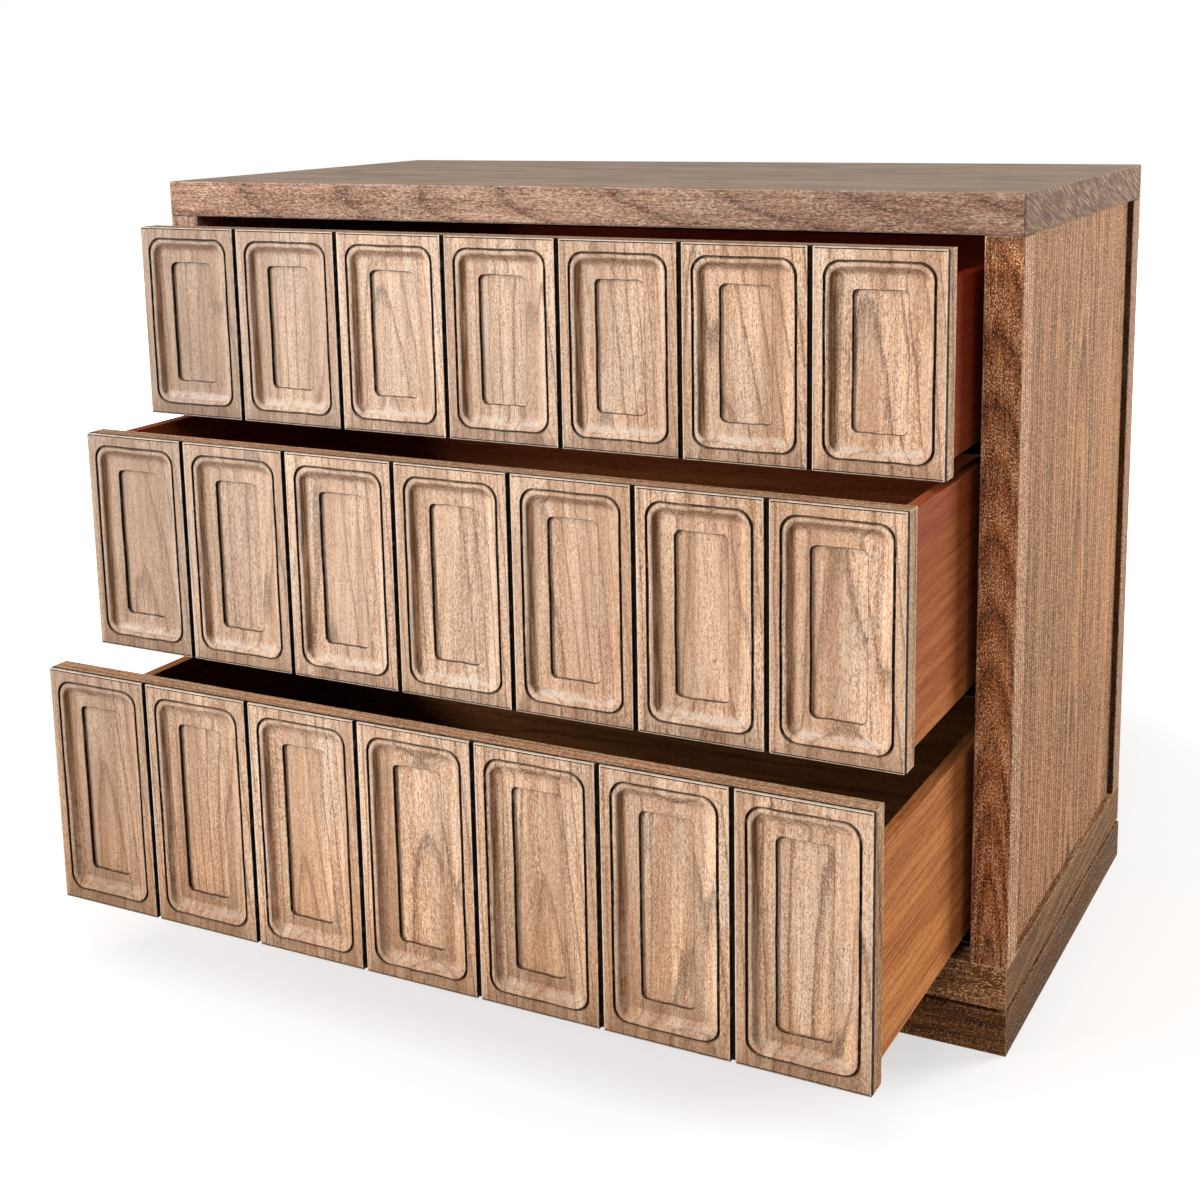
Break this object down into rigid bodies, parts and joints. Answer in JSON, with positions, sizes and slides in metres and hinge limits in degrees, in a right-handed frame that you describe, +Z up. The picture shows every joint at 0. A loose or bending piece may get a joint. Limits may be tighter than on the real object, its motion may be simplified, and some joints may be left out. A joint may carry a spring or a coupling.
{
  "type": "chest of drawers",
  "caption": "Low wide chest of three stacked drawers whose fronts are rows of tall routed blocks, on a mitred plinth, with concealed slides and no handles.",
  "frame": {"origin": "on the floor, midway across the chest, and midway front to back between the back of the plinth and the face of the lowest drawer as it stands open", "axes": "+X to the viewer's right across the front, +Y towards the back, +Z up; the drawers pull out along -Y"},
  "size_m": [1.0184, 0.8192, 0.868],
  "materials": {
    "top_wood": "limed, satin",
    "frame_wood": "limed, satin",
    "panel_wood": "limed, satin",
    "plinth_wood": "stained, satin",
    "inner_wood": "plain",
    "front_wood": "limed, worn at the edges",
    "block_wood": "limed, wash left in the hollows",
    "drawer_wood": "clear satin",
    "slide_steel": "zinc plated"
  },
  "bodies": {
    "carcass": {"back_panel": "inner_wood", "front_base_rail": "frame_wood", "front_left_post": "frame_wood", "front_plinth_board": "plinth_wood", "front_right_post": "frame_wood", "left_base_rail": "frame_wood", "left_plinth_board": "plinth_wood", "left_side_panel": "panel_wood", "rear_base_rail": "frame_wood", "rear_left_post": "frame_wood", "rear_plinth_board": "plinth_wood", "rear_right_post": "frame_wood", "right_base_rail": "frame_wood", "right_plinth_board": "plinth_wood", "right_side_panel": "panel_wood", "slide_cabinet_members": "slide_steel", "slide_cleats": "inner_wood", "top_panel": "top_wood"},
    "top_drawer": {"top_drawer_back": "drawer_wood", "top_drawer_block_1": "block_wood", "top_drawer_block_2": "block_wood", "top_drawer_block_3": "block_wood", "top_drawer_block_4": "block_wood", "top_drawer_block_5": "block_wood", "top_drawer_block_6": "block_wood", "top_drawer_block_7": "block_wood", "top_drawer_bottom": "drawer_wood", "top_drawer_front_board": "front_wood", "top_drawer_left_side": "drawer_wood", "top_drawer_right_side": "drawer_wood", "top_slide_drawer_members": "slide_steel"},
    "top_slide_middle": {"top_slide_middle_members": "slide_steel"},
    "middle_drawer": {"middle_drawer_back": "drawer_wood", "middle_drawer_block_1": "block_wood", "middle_drawer_block_2": "block_wood", "middle_drawer_block_3": "block_wood", "middle_drawer_block_4": "block_wood", "middle_drawer_block_5": "block_wood", "middle_drawer_block_6": "block_wood", "middle_drawer_block_7": "block_wood", "middle_drawer_bottom": "drawer_wood", "middle_drawer_front_board": "front_wood", "middle_drawer_left_side": "drawer_wood", "middle_drawer_right_side": "drawer_wood", "middle_slide_drawer_members": "slide_steel"},
    "middle_slide_middle": {"middle_slide_middle_members": "slide_steel"},
    "bottom_drawer": {"bottom_drawer_back": "drawer_wood", "bottom_drawer_block_1": "block_wood", "bottom_drawer_block_2": "block_wood", "bottom_drawer_block_3": "block_wood", "bottom_drawer_block_4": "block_wood", "bottom_drawer_block_5": "block_wood", "bottom_drawer_block_6": "block_wood", "bottom_drawer_block_7": "block_wood", "bottom_drawer_bottom": "drawer_wood", "bottom_drawer_front_board": "front_wood", "bottom_drawer_left_side": "drawer_wood", "bottom_drawer_right_side": "drawer_wood", "bottom_slide_drawer_members": "slide_steel"},
    "bottom_slide_middle": {"bottom_slide_middle_members": "slide_steel"}
  },
  "joints": [
    {"name": "top_drawer_slide", "type": "slide", "parent": "carcass", "child": "top_drawer", "axis": [0, -1, 0], "range_m": [-0.101, 0.331]},
    {"name": "top_middle_member_slide", "type": "slide", "parent": "carcass", "child": "top_slide_middle", "axis": [0, -1, 0], "range_m": [-0.0505, 0.1655]},
    {"name": "middle_drawer_slide", "type": "slide", "parent": "carcass", "child": "middle_drawer", "axis": [0, -1, 0], "range_m": [-0.207, 0.225]},
    {"name": "middle_middle_member_slide", "type": "slide", "parent": "carcass", "child": "middle_slide_middle", "axis": [0, -1, 0], "range_m": [-0.1035, 0.1125]},
    {"name": "bottom_drawer_slide", "type": "slide", "parent": "carcass", "child": "bottom_drawer", "axis": [0, -1, 0], "range_m": [-0.288, 0.144]},
    {"name": "bottom_middle_member_slide", "type": "slide", "parent": "carcass", "child": "bottom_slide_middle", "axis": [0, -1, 0], "range_m": [-0.144, 0.072]}
  ],
  "couplings": [
    {"joint": "top_middle_member_slide", "follows": "top_drawer_slide", "ratio": 0.5},
    {"joint": "middle_middle_member_slide", "follows": "middle_drawer_slide", "ratio": 0.5},
    {"joint": "bottom_middle_member_slide", "follows": "bottom_drawer_slide", "ratio": 0.5}
  ]
}
